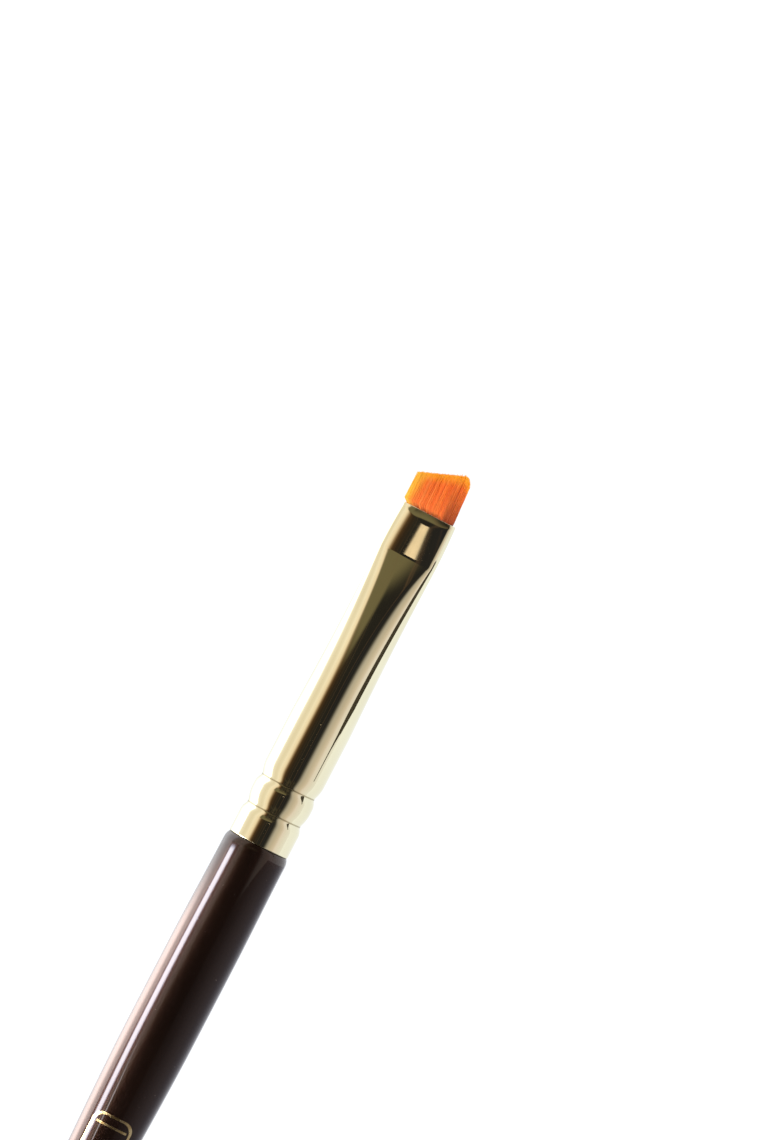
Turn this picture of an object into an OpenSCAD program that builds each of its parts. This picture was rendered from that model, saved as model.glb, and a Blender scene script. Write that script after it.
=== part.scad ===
// Fine detail brush: angled flat tuft in a pressed metal ferrule on a turned, lacquered handle.
// The brush lies along X with its tuft towards +X, and the broad faces of the tuft look up and down (Z).
// The origin is on the brush's axis at the middle of the grip, the widest part of the handle.

/* [Handle] */
// Length of the handle that shows, from the ferrule's edge to the tail
handle_len = 140; // [110:1:180]
// Diameter of the grip, over the lacquer
grip_d = 6; // [5.7:0.1:7.5]
// Length of the straight part of the grip
grip_len = 8; // [6:0.5:10]
// From the middle of the grip to the ferrule's edge
grip_to_ferrule = 14.5; // [12:0.5:20]
// Diameter of the waist, over the lacquer
waist_d = 4.4; // [3.8:0.1:5]
// From the end of the grip to the waist
waist_run = 29; // [24:1:36]
// Slope of the handle's side just behind the grip, radius lost per length
grip_slope = 0.008; // [0:0.001:0.01]
// Slope of the handle's side at the waist, radius lost per length
waist_slope = 0.011; // [0.008:0.001:0.014]
// Diameter of the tail, over the lacquer
tail_d = 3; // [2.4:0.1:3.6]
// Slope of the handle's side at the tail, radius lost per length
tail_slope = 0.005; // [0.003:0.001:0.007]
// How much less the radius is at the neck than at the grip
neck_drop = 0.09; // [0.04:0.01:0.14]
// How far the handle's rounded edge ends below the ferrule's surface
nose_step = 0.08; // [0.04:0.01:0.1]
// Length of that rounded edge
nose_len = 1.6; // [1:0.1:2]
// Thickness of the lacquer
coat = 0.15; // [0.1:0.01:0.2]
// How much thinner the lacquer is at the middle of the grip
coat_thin = 0.02; // [0.01:0.01:0.04]
// Length of the tenon inside the ferrule
tenon_len = 10.6; // [8:0.2:11]
// Chamfer at the end of the tenon
tenon_chamfer = 0.5; // [0.2:0.1:0.8]

/* [Ferrule] */
// Length of the ferrule
ferrule_len = 31.5; // [28:0.5:38]
// Outer diameter of the round barrel
ferrule_d = 5.5; // [5.2:0.1:6]
// Thickness of the metal
wall = 0.2; // [0.15:0.01:0.25]
// Length of the round barrel, crimps included
barrel_len = 11.5; // [11.5:0.5:14]
// Length of the flat pressed mouth
mouth_len = 4.1; // [3:0.1:6]
// Outer width of the ferrule where the pressed mouth starts
crease_w = 5.22; // [4.8:0.02:5.4]
// Outer width of the ferrule at its very mouth
mouth_w = 4.94; // [4.6:0.02:5.2]
// Outer thickness of the pressed mouth
mouth_t = 1.7; // [1.5:0.05:2.2]
// Width of the flat face where the pressed mouth starts
flat_w = 3; // [2.4:0.1:3.4]
// How late the flat face widens between the barrel and the mouth, as a power
flat_growth = 3.5; // [1.5:0.5:4]
// How late the ferrule thins between the barrel and the mouth, as a power
press_curve = 1.35; // [1:0.05:1.6]
// How far each side draws in between the barrel and the mouth
side_draw = 0.1; // [0:0.01:0.15]
// Length of the rim that curls in at the mouth
rim_len = 0.4; // [0.2:0.05:0.6]
// How far the rim curls in
rim_curl = 0.06; // [0.02:0.01:0.08]

/* [Crimps] */
// From the ferrule's edge to the first crimp
crimp_from_edge = 2.9; // [2.4:0.1:3.4]
// From one crimp to the next
crimp_pitch = 2.6; // [2.2:0.1:3]
// Number of crimps
crimps = 2; // [1:1:2]
// Depth of a crimp
crimp_depth = 0.25; // [0.15:0.01:0.3]
// Length of a crimp's steep side, towards the handle
crimp_steep = 0.75; // [0.6:0.05:0.9]
// Length of a crimp's long side, towards the tuft
crimp_long = 1.2; // [0.9:0.05:1.3]
// Rounding at the bottom of a crimp
crimp_round = 0.12; // [0.05:0.01:0.2]

/* [Tuft] */
// How far the hair reaches outside the ferrule, on its long side
hair_out = 4.3; // [3.6:0.1:8]
// Slant of the trimmed end
slant = 19; // [0:1:25]
// Width of the free tuft just outside the ferrule
tuft_w = 4.76; // [4.4:0.02:5]
// Width of the free tuft at its trimmed end
tip_w = 4.5; // [4:0.02:4.8]
// Thickness of the trimmed edge
edge_t = 0.36; // [0.2:0.02:0.5]
// Rounding of the long corner
long_corner_r = 0.9; // [0.4:0.1:1.2]
// From the mouth to the line where the hair bends
bend_from_mouth = 0.5; // [0.4:0.05:0.8]
// How far the tuft bends each way
bend_deg = 45; // [20:1:50]
// Gap round the bending line
bend_gap = 0.05; // [0.03:0.01:0.08]
// Gap between the hair and the inside of the ferrule
hair_gap = 0.03; // [0.02:0.01:0.05]

/* [Inside] */
// From the ferrule's edge to the roots of the hair
root_from_edge = 13.4; // [13:0.2:15]
// Radius of the tied bundle of roots
root_r = 1.32; // [1:0.02:1.5]
// Radius of the binding thread
thread_r = 0.12; // [0.08:0.01:0.16]
// Turns of the binding thread
thread_turns = 6; // [3:1:8]
// From the roots to the first turn
thread_from_root = 0.7; // [0.5:0.1:1.2]
// Length of the epoxy behind the roots
epoxy_behind = 1; // [0.6:0.1:1.2]
// Length of the epoxy over the roots
epoxy_over = 5; // [4:0.5:8]
// Thickness of the glue round the tenon
glue_t = 0.08; // [0.05:0.01:0.12]
// Gap between the epoxy and what it is cast round
cast_gap = 0.02; // [0.01:0.01:0.03]

/* [Foil] */
// From the ferrule's edge to the foil frame
foil_from_ferrule = 25.8; // [22:0.2:30]
// Length of the foil frame
foil_len = 34; // [20:1:45]
// Width of the foil frame, seen from above
foil_w = 3.6; // [2.4:0.1:4]
// Width of a foil line
foil_line = 0.2; // [0.15:0.01:0.3]
// Thickness of the foil
foil_t = 0.05; // [0.04:0.01:0.08]
// From the frame's end line to the line inside it
foil_bar_pitch = 0.95; // [0.7:0.05:1.5]
// Number of lozenges inside the frame
lozenges = 3; // [1:2:5]
// Length of a lozenge
lozenge_len = 1.7; // [1:0.1:2.4]
// Width of a lozenge
lozenge_w = 0.8; // [0.5:0.1:1.2]

/* [Hidden] */
$fn = 64;

grip_r = grip_d / 2;
waist_r = waist_d / 2;
tail_r = tail_d / 2;
neck_r = grip_r - neck_drop;
barrel_r = ferrule_d / 2;
nose_r = barrel_r - nose_step;

// Places along X
x_edge = grip_to_ferrule;                    // the ferrule's edge, where the handle stops showing
x_tail = x_edge - handle_len + tail_r;       // middle of the round tail
x_waist = -grip_len / 2 - waist_run;
x_tenon = x_edge + tenon_len;
x_barrel = x_edge + barrel_len;
x_crease = x_edge + ferrule_len - mouth_len;
x_mouth = x_edge + ferrule_len;
x_rim = x_mouth - rim_len;
x_root = x_edge + root_from_edge;
x_bend = x_mouth + bend_from_mouth;
x_tip = x_mouth + hair_out;

// Steps along the curved stretches
handle_steps = 14;
neck_steps = 6;
nose_steps = 4;
tail_steps = 8;
crimp_steps = 8;
press_steps = 10;
press_crowding = 0.75;                       // steps get shorter towards the mouth
mouth_steps = 3;
side_steps = 16;
over = 1;                                    // how far a cutter runs past what it cuts
lap = 0.05;                                  // how far two parts of one solid lap into each other
least_flat = 0.01;                           // keeps the two halves of a ring apart where it is round
seam = 0.015;                                // the pressed part starts this much inside the barrel's surfaces
press_r = barrel_r - seam;

function ease(t) = t * t * (3 - 2 * t);
function hermite(t, p0, p1, m0, m1) =
    (1 - ease(t)) * p0 + ease(t) * p1 + t * (1 - t) * (1 - t) * m0 - t * t * (1 - t) * m1;

// ---- Handle ----

// Radius over the lacquer between the tail and the ferrule's edge
function handle_r(x) =
    x > x_edge - nose_len ? neck_r - (neck_r - nose_r) * pow((x - x_edge + nose_len) / nose_len, 2)
    : x > grip_len / 2 ? grip_r - neck_drop * ease((x - grip_len / 2) / (x_edge - nose_len - grip_len / 2))
    : x >= -grip_len / 2 ? grip_r
    : x > x_waist ? hermite((-grip_len / 2 - x) / waist_run, grip_r, waist_r,
                                -grip_slope * waist_run, -waist_slope * waist_run)
    : hermite((x_waist - x) / (x_waist - x_tail), waist_r, tail_r,
              -waist_slope * (x_waist - x_tail), -tail_slope * (x_waist - x_tail));

// Stations from the tail to the ferrule's edge
handle_x = [
    for (i = [0:handle_steps - 1]) x_tail + (x_waist - x_tail) * i / handle_steps,
    for (i = [0:handle_steps - 1]) x_waist + waist_run * i / handle_steps,
    -grip_len / 2,
    for (i = [0:neck_steps - 1]) grip_len / 2 + (x_edge - nose_len - grip_len / 2) * i / neck_steps,
    for (i = [0:nose_steps]) x_edge - nose_len + nose_len * i / nose_steps
];

// Outline of the handle as [radius, x], with its surface moved in by inset; it starts on the axis at the tail
function handle_outline(inset) = concat(
    [for (i = [0:tail_steps - 1]) let (a = 90 * i / tail_steps)
        [(tail_r - inset) * sin(a), x_tail - (tail_r - inset) * cos(a)]],
    [for (x = handle_x) if (x < 0) [handle_r(x) - inset, x]],
    inset > 0 ? [[grip_r - inset + coat_thin, 0]] : [],
    [for (x = handle_x) if (x > 0) [handle_r(x) - inset, x]]
);

function reversed(list) = [for (i = [len(list) - 1:-1:0]) list[i]];

// Turns an outline of [radius, x] points round the brush's axis
module turned(outline) {
    rotate([0, 90, 0]) rotate_extrude() polygon(outline);
}

module handle_core() {
    color("burlywood") turned(concat(
        handle_outline(coat),
        bore_outline(glue_t, x_edge, x_tenon - tenon_chamfer),
        [[bore_r(x_tenon) - glue_t - tenon_chamfer, x_tenon], [0, x_tenon]]
    ));
}

module lacquer_coat() {
    color([0.12, 0.07, 0.06]) turned(concat(handle_outline(0), reversed(handle_outline(coat))));
}

// ---- Ferrule ----

// Depth of the crimps at x
function crimp_q(s) = (sqrt(s * s + crimp_round * crimp_round) - crimp_round) / (s < 0 ? crimp_steep : crimp_long);
function crimp_at(x) = max([for (i = [0:crimps - 1])
    let (q = crimp_q(x - x_edge - crimp_from_edge - i * crimp_pitch)) q < 1 ? crimp_depth * pow(1 - q, 2) : 0]);
function barrel_outer(x) = barrel_r - crimp_at(x);
function bore_r(x) = barrel_outer(x) - wall;

// Stations along the barrel, close together where the crimps are
crimp_x = [for (i = [0:crimps - 1]) let (c = x_edge + crimp_from_edge + i * crimp_pitch)
    each [for (k = [-crimp_steps:crimp_steps])
        c + (k < 0 ? crimp_reach(crimp_steep) : crimp_reach(crimp_long)) * sign(k) * pow(abs(k) / crimp_steps, 1.5)]];
function crimp_reach(run) = sqrt(pow(run + crimp_round, 2) - crimp_round * crimp_round);

function bore_outline(inset, x0, x1) = concat(
    [[bore_r(x0) - inset, x0]],
    [for (x = crimp_x) if (x > x0 + lap && x < x1 - lap) [bore_r(x) - inset, x]],
    [[bore_r(x1) - inset, x1]]
);
function barrel_outline(x0, x1) = bore_outline(-wall, x0, x1);

// Half width and half thickness of the pressed part, outside the metal
function press_t(x) = max(0, (x - x_barrel) / (x_crease - x_barrel));
function mouth_u(x) = (x - x_crease) / mouth_len;
function rim_u(x) = max(0, (x - x_rim) / rim_len);
function half_w(x) = x <= x_crease
    ? press_r + (crease_w / 2 - press_r) * press_t(x) - side_draw * sin(180 * press_t(x))
    : crease_w / 2 - (crease_w - mouth_w) / 2 * pow(mouth_u(x), 2) - rim_curl * pow(rim_u(x), 2);
function half_t(x) = x <= x_crease
    ? press_r - (press_r - mouth_t / 2) * pow(press_t(x), press_curve)
    : mouth_t / 2 - rim_curl * pow(rim_u(x), 2);
function half_flat(x) = least_flat + (flat_w / 2 - least_flat) * pow(max(0, min(1, press_t(x))), flat_growth);

press_x = [
    for (i = [0:press_steps]) x_barrel + (x_crease - x_barrel) * pow(i / press_steps, press_crowding),
    x_crease + (x_rim - x_crease) / 2,
    for (i = [0:mouth_steps]) x_rim + rim_len * i / mouth_steps
];

// The same sizes as the straight runs between the rings really have them
rings_w = [for (x = press_x) [x, half_w(x)]];
rings_t = [for (x = press_x) [x, half_t(x)]];
rings_flat = [for (x = press_x) [x, half_flat(x)]];

// A ring of points across the brush at x: two half ovals with flats between them
function ring(x, w, t, f) = [
    for (side = [1, -1], i = [0:side_steps]) let (a = -90 * side + 180 * i / side_steps)
        [x, side * f + (w - f) * cos(a), t * sin(a)]
];

// A closed solid through rings; each entry of rows is [x, half width, half thickness, half width of the flat]
module lofted(rows) {
    n = 2 * (side_steps + 1);
    last = len(rows) - 1;
    polyhedron(
        points = [for (row = rows) each ring(row[0], row[1], row[2], row[3])],
        faces = concat(
            [[for (i = [0:n - 1]) i]],
            [for (k = [0:last - 1], i = [0:n - 1]) let (j = (i + 1) % n)
                each [[k * n + i, (k + 1) * n + i, (k + 1) * n + j], [k * n + i, (k + 1) * n + j, k * n + j]]],
            [[for (i = [n - 1:-1:0]) last * n + i]]
        ));
}

module ferrule() {
    color("khaki") {
        turned(concat(
            barrel_outline(x_edge, x_barrel),
            reversed(bore_outline(0, x_edge, x_barrel))
        ));
        difference() {
            lofted(concat([[x_barrel - lap, press_r - lap, press_r - lap, least_flat]],
                          [for (x = press_x) [x, half_w(x), half_t(x), half_flat(x)]]));
            lofted(concat([[x_barrel - over, press_r - wall, press_r - wall, least_flat]],
                          [for (x = press_x) [x, half_w(x) - wall, half_t(x) - wall, half_flat(x)]],
                          [[x_mouth + over, half_w(x_mouth) - wall, half_t(x_mouth) - wall, flat_w / 2]]));
        }
    }
}

// ---- Inside the ferrule ----

module tenon_glue() {
    x0 = x_edge + lap;
    x1 = x_tenon - tenon_chamfer;
    color("goldenrod") turned(concat(bore_outline(0, x0, x1), reversed(bore_outline(glue_t, x0, x1))));
}

// Half width and half thickness of the bundle of hair inside the ferrule
function bundle_u(x) = (x - x_root) / (x_crease - x_root);
function bundle_w(x) = x < x_crease
    ? root_r + (crease_w / 2 - wall - hair_gap - root_r) * bundle_u(x) : half_w(x) - wall - hair_gap;
function bundle_t(x) = x < x_crease
    ? root_r + (mouth_t / 2 - wall - hair_gap - root_r) * bundle_u(x) : half_t(x) - wall - hair_gap;

bundle_x = concat([x_root, x_root + epoxy_over], [for (x = press_x) if (x > x_root + epoxy_over) x]);

module bundle(gap) {
    lofted([for (x = bundle_x)
        [x == x_root ? x - gap : x, bundle_w(x) + gap, bundle_t(x) + gap, half_flat(x)]]);
}

// Radius on which turn i of the thread lies, clear of the bundle's widest side
function thread_x(i) = x_root + thread_from_root + i * 2 * (thread_r + cast_gap);
function thread_ring_r(i) = bundle_w(thread_x(i)) + thread_r + cast_gap;

module thread(gap) {
    for (i = [0:thread_turns - 1])
        translate([thread_x(i), 0, 0]) rotate([0, 90, 0])
            rotate_extrude() translate([thread_ring_r(i), 0]) circle(r = thread_r + gap, $fn = 24);
}

module binding_thread() {
    color("ivory") thread(0);
}

module root_epoxy() {
    x0 = x_root - epoxy_behind;
    x1 = x_root + epoxy_over;
    rows = concat([x0], [for (x = press_x) if (x > x0 && x < x1) x], [x1]);
    color("peru") difference() {
        lofted([for (x = rows)
            [x, lookup(x, rings_w) - wall - cast_gap, lookup(x, rings_t) - wall - cast_gap, lookup(x, rings_flat)]]);
        bundle(cast_gap);
        thread_channel();
    }
}

// One channel for all turns of the thread
module thread_channel() {
    x0 = thread_x(0) - thread_r - cast_gap;
    x1 = thread_x(thread_turns - 1) + thread_r + cast_gap;
    r1 = thread_ring_r(thread_turns - 1) + thread_r + cast_gap;
    translate([x0, 0, 0]) rotate([0, 90, 0]) cylinder(r = r1, h = x1 - x0);
}

// ---- Tuft ----

bend_r = half_t(x_mouth) - wall - hair_gap;                  // half thickness of the hair at the mouth
tip_base_t = (bend_r + bend_gap) * cos(bend_deg);            // half thickness that still clears at full bend
x_tip_base = x_bend + (bend_r + bend_gap) * sin(bend_deg);

module hair_root() {
    w = bundle_w(x_mouth);
    color("orangered") {
        bundle(0);
        translate([x_mouth - lap, -flat_w / 2, -bend_r])
            cube([bend_from_mouth + lap, flat_w, 2 * bend_r]);
        translate([x_bend, w - bend_r / 2, 0]) rotate([90, 0, 0]) cylinder(r = bend_r, h = 2 * w - bend_r);
    }
}

// The tuft from above: long side at -Y, its corner rounded into the slanted end
module tuft_outline() {
    corner_x = x_tip - long_corner_r;
    corner_y = -tip_w / 2 + long_corner_r;
    end_x = corner_x + long_corner_r * cos(slant);
    end_y = corner_y + long_corner_r * sin(slant);
    polygon([[x_bend, -tuft_w / 2], [corner_x, -tip_w / 2], [corner_x, corner_y], [end_x, end_y],
             [end_x - (tip_w / 2 - end_y) * tan(slant), tip_w / 2], [x_bend, tuft_w / 2]]);
    translate([corner_x, corner_y]) circle(r = long_corner_r);
}

// The tuft from the side: a wedge that thins to the trimmed edge
module tuft_profile() {
    polygon([[x_bend, -tip_base_t], [x_tip_base, -tip_base_t], [x_tip, -edge_t / 2],
             [x_tip, edge_t / 2], [x_tip_base, tip_base_t], [x_bend, tip_base_t]]);
}

module hair_tip() {
    color("orange") difference() {
        intersection() {
            translate([0, 0, -over]) linear_extrude(2 * over) tuft_outline();
            translate([0, tuft_w / 2, 0]) rotate([90, 0, 0]) linear_extrude(tuft_w) tuft_profile();
        }
        translate([x_bend, tuft_w / 2 + over, 0]) rotate([90, 0, 0])
            cylinder(r = bend_r + bend_gap, h = tuft_w + 2 * over);
    }
}

// ---- Foil ----

module rounded_rect(l, w, r) {
    square([l - 2 * r, w], center = true);
    square([l, w - 2 * r], center = true);
    for (sx = [-1, 1], sy = [-1, 1]) translate([sx * (l / 2 - r), sy * (w / 2 - r)]) circle(r = r);
}

module foil_pattern() {
    corner = foil_w / 4;
    difference() {
        rounded_rect(foil_len, foil_w, corner);
        rounded_rect(foil_len - 2 * foil_line, foil_w - 2 * foil_line, corner - foil_line);
    }
    for (s = [-1, 1]) translate([s * (foil_len / 2 - foil_bar_pitch), 0])
        square([foil_line, foil_w - 4 * foil_line], center = true);
    for (i = [0:lozenges - 1]) translate([(i - (lozenges - 1) / 2) * 1.5 * lozenge_len, 0])
        polygon([[-lozenge_len / 2, 0], [0, -lozenge_w / 2], [lozenge_len / 2, 0], [0, lozenge_w / 2]]);
}

module foil_frame() {
    color("gold") intersection() {
        turned(concat(handle_outline(-foil_t), reversed(handle_outline(0))));
        translate([x_edge - foil_from_ferrule - foil_len / 2, 0, 0]) linear_extrude(grip_d) foil_pattern();
    }
}

handle_core();
lacquer_coat();
ferrule();
tenon_glue();
root_epoxy();
binding_thread();
hair_root();
hair_tip();
foil_frame();
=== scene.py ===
# Fine detail brush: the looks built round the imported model.
import bpy
import math
import numpy as np
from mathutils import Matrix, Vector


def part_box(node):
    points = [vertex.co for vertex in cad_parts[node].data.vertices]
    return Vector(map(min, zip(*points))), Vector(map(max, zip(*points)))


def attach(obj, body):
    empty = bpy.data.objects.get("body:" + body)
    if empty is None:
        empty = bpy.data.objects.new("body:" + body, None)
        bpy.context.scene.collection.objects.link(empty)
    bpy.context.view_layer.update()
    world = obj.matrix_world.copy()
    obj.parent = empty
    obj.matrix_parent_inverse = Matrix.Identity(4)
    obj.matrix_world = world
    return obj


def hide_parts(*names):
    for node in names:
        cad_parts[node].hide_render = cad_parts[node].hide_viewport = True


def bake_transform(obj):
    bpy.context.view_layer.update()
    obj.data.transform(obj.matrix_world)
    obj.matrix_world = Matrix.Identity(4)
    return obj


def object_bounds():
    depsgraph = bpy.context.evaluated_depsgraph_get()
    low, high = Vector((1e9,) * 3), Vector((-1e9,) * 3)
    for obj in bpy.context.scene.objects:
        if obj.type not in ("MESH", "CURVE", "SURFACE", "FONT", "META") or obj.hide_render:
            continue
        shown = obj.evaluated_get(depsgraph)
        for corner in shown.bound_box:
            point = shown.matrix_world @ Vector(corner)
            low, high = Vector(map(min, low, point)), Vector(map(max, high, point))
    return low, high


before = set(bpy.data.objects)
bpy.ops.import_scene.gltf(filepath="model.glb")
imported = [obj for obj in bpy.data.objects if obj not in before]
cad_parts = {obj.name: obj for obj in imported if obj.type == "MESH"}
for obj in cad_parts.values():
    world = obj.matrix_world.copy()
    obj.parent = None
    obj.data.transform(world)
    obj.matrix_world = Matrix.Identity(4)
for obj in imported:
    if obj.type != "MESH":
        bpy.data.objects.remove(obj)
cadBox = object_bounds()
mm = 0.001  # the sizes of the pieces below are in millimetres
handleBody, tuftBody = "brush", "tuft"
print("frame loaded:", ", ".join(sorted(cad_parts)))


# small helpers for node trees and meshes

def put(tree, kind, values=None, **settings):
    made = tree.nodes.new(kind)
    for key, value in settings.items():
        setattr(made, key, value)
    for key, value in (values or {}).items():
        feed(tree, made.inputs[key], value)
    return made


def feed(tree, socket, value):
    if isinstance(value, bpy.types.NodeSocket):
        tree.links.new(value, socket)
    else:
        socket.default_value = value


def calc(tree, operation, *values):
    made = tree.nodes.new("ShaderNodeMath")
    made.operation = operation
    for index, value in enumerate(values):
        feed(tree, made.inputs[index], value)
    return made.outputs[0]


def remap(tree, value, fromLow, fromHigh, toLow, toHigh, smooth=False):
    made = tree.nodes.new("ShaderNodeMapRange")
    made.interpolation_type = "SMOOTHSTEP" if smooth else "LINEAR"
    for index, item in enumerate((value, fromLow, fromHigh, toLow, toHigh)):
        feed(tree, made.inputs[index], item)
    return made.outputs[0]


def ramp(tree, value, stops):
    made = tree.nodes.new("ShaderNodeValToRGB")
    points = made.color_ramp.elements
    points.remove(points[1])
    points[0].position, points[0].color = stops[0][0], (*stops[0][1], 1)
    for place, colour in stops[1:]:
        points.new(place).color = (*colour, 1)
    feed(tree, made.inputs[0], value)
    return made.outputs[0]


def blendColour(tree, amount, first, second):
    made = tree.nodes.new("ShaderNodeMix")
    made.data_type = "RGBA"
    feed(tree, made.inputs[0], amount)
    for index, colour in ((6, first), (7, second)):
        isLink = isinstance(colour, bpy.types.NodeSocket)
        feed(tree, made.inputs[index], colour if isLink else (*colour, 1))
    return made.outputs[2]


def band(tree, value, rise, full, fade, gone):
    # 0 below rise, 1 between full and fade, 0 above gone
    up = remap(tree, value, rise, full, 0.0, 1.0, smooth=True)
    return calc(tree, "MULTIPLY", up, remap(tree, value, fade, gone, 1.0, 0.0, smooth=True))


def newMaterial(name, **constants):
    made = bpy.data.materials.new(name)
    made.use_nodes = True
    shader = made.node_tree.nodes["Principled BSDF"]
    for key, value in constants.items():
        shader.inputs[key.replace("_", " ")].default_value = value
    return made, made.node_tree, shader


def axes(tree, vector):
    return put(tree, "ShaderNodeSeparateXYZ", {0: vector}).outputs


def joined(tree, **axis):
    return put(tree, "ShaderNodeCombineXYZ", {key.upper(): value for key, value in axis.items()}).outputs[0]


def scaled(tree, vector, factor):
    return put(tree, "ShaderNodeVectorMath", {0: vector, 3: factor}, operation="SCALE").outputs[0]


def onPiece(tree):
    return tree.nodes.new("ShaderNodeTexCoord").outputs["Object"]


def stretched(tree, scale):
    return put(tree, "ShaderNodeMapping", {"Vector": onPiece(tree), "Scale": scale}).outputs[0]


def noise(tree, vector, scale, detail=2.0, rough=0.5, distortion=0.0):
    return put(tree, "ShaderNodeTexNoise", {"Vector": vector, "Scale": scale, "Detail": detail,
                                            "Roughness": rough, "Distortion": distortion}).outputs["Fac"]


def bump(tree, shader, height, distance, socket="Normal"):
    made = put(tree, "ShaderNodeBump", {"Height": height, "Distance": distance})
    tree.links.new(made.outputs[0], shader.inputs[socket])


def newPiece(name, verts, faces, finish, smooth=True):
    mesh = bpy.data.meshes.new(name)
    mesh.from_pydata([tuple(v) for v in verts], [], faces)
    mesh.validate()
    if smooth:
        mesh.shade_smooth()
    else:
        mesh.shade_flat()
    mesh.materials.append(finish)
    piece = bpy.data.objects.new(name, mesh)
    bpy.context.collection.objects.link(piece)
    return piece


def tubeFaces(rings, around, closed=False):
    # quads between neighbouring rings of points
    faces = []
    for k in range(rings if closed else rings - 1):
        for i in range(around):
            a, b = k * around + i, k * around + (i + 1) % around
            c, d = (k + 1) % rings * around + i, (k + 1) % rings * around + (i + 1) % around
            faces.append((a, c, d, b))
    return faces


def ease(t):
    return t * t * (3 - 2 * t)


# ferrule: crimps, round barrel, pressed part, flat mouth with its curled rim

ferruleLow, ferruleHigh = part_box("ferrule")
metal = {
    "edge": ferruleLow[0] / mm, "mouth": ferruleHigh[0] / mm,
    "radius": 2.75, "wall": 0.2, "barrel": 11.5, "mouthLength": 4.1,
    "creaseWidth": 5.22, "mouthWidth": 4.94, "mouthThickness": 1.7,
    "flat": 3.0, "flatGrowth": 3.5, "pressCurve": 1.35, "pressKink": 0.02, "sideDraw": 0.1,
    "rim": 1.0, "curl": 0.16, "curlBend": 1.6, "rimArch": 0.9,
    "crown": 0.23, "creaseCrown": 0.155, "crownRun": 9.0, "creaseSoft": 0.1,
    "flatLeft": 0.4, "flatRight": 1.3,  # where the flat ends on each side, as shares of its half width
    "crimps": (2.9, 5.5), "crimpDepth": 0.25, "crimpSteep": 0.75, "crimpLong": 1.2, "crimpRound": 0.12,
    # painted shade at the bottom of the crimp grooves: its strength, where it is full and where it ends
    "grooveShade": 0.6, "grooveShadeFull": 0.03, "grooveShadeWidth": 0.09,
    "around": 176, "coarseRings": (0.2, 1.9, 0.2), "fineRings": (1.95, 7.0, 0.05),  # from, to, step
}
barrelEnd = metal["edge"] + metal["barrel"]
crease = metal["mouth"] - metal["mouthLength"]


def crimpAt(x):
    deepest = 0.0
    for place in metal["crimps"]:
        s = x - metal["edge"] - place
        run = metal["crimpSteep"] if s < 0 else metal["crimpLong"]
        q = (math.hypot(s, metal["crimpRound"]) - metal["crimpRound"]) / run
        if q < 1:
            deepest = max(deepest, metal["crimpDepth"] * (1 - q) ** 2)
    return deepest


def sectionSharp(x):
    # half width, half thickness and half flat of the outside at x
    r = metal["radius"]
    if x <= barrelEnd:
        return np.array((r - crimpAt(x), r - crimpAt(x), 0.0))
    t = (x - barrelEnd) / (crease - barrelEnd)
    if t <= 1:
        kink, power = metal["pressKink"], metal["pressCurve"]
        press = ((t + kink) ** power - kink ** power) / ((1 + kink) ** power - kink ** power)
        wide = r + (metal["creaseWidth"] / 2 - r) * t - metal["sideDraw"] * math.sin(math.pi * t)
        thick = r - (r - metal["mouthThickness"] / 2) * press
        return np.array((wide, thick, metal["flat"] / 2 * t ** metal["flatGrowth"]))
    u = (x - crease) / metal["mouthLength"]
    wide = metal["creaseWidth"] / 2 - (metal["creaseWidth"] - metal["mouthWidth"]) / 2 * u * u
    return np.array((wide, metal["mouthThickness"] / 2, metal["flat"] / 2))


def section(x):
    # the crease is a bend with a small radius, not a knife edge
    soft = metal["creaseSoft"]
    if abs(x - crease) > soft * 1.01:
        return sectionSharp(x)
    return np.mean([sectionSharp(x + soft * d) for d in np.linspace(-1, 1, 13)], axis=0)


def crownAt(x):
    # the pressed faces stay a little domed across
    if x < crease:
        return metal["creaseCrown"] * ease(max(0, 1 - (crease - x) / metal["crownRun"]))
    share = (x - crease) / metal["mouthLength"]
    return metal["creaseCrown"] + (metal["crown"] - metal["creaseCrown"]) * share


def ringAt(x, inset, count, dome=False):
    # one ring of the tube; s and q run from the middle and from the flat's edge to the side
    w, t, flat = section(x)
    w, t = w - inset, t - inset
    angle = np.arange(count) * 2 * math.pi / count
    y = w * np.cos(angle)
    s = (y / w) ** 2
    edge = np.where(y > 0, metal["flatLeft"], metal["flatRight"]) * flat
    q = np.clip((np.abs(y) - edge) / (w - edge), 0, 1)
    drop = crownAt(x) * s if dome else 0
    rim = metal["rim"] * (1 - metal["rimArch"] * s)
    curl = metal["curl"] * np.clip((x - metal["mouth"] + rim) / rim, 0, 1) ** metal["curlBend"]
    z = np.sign(np.sin(angle)) * (t - curl - drop) * np.sqrt(1 - q * q)
    return np.column_stack((np.full(count, x), y * (1 - 0.5 * curl / w), z))


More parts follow.
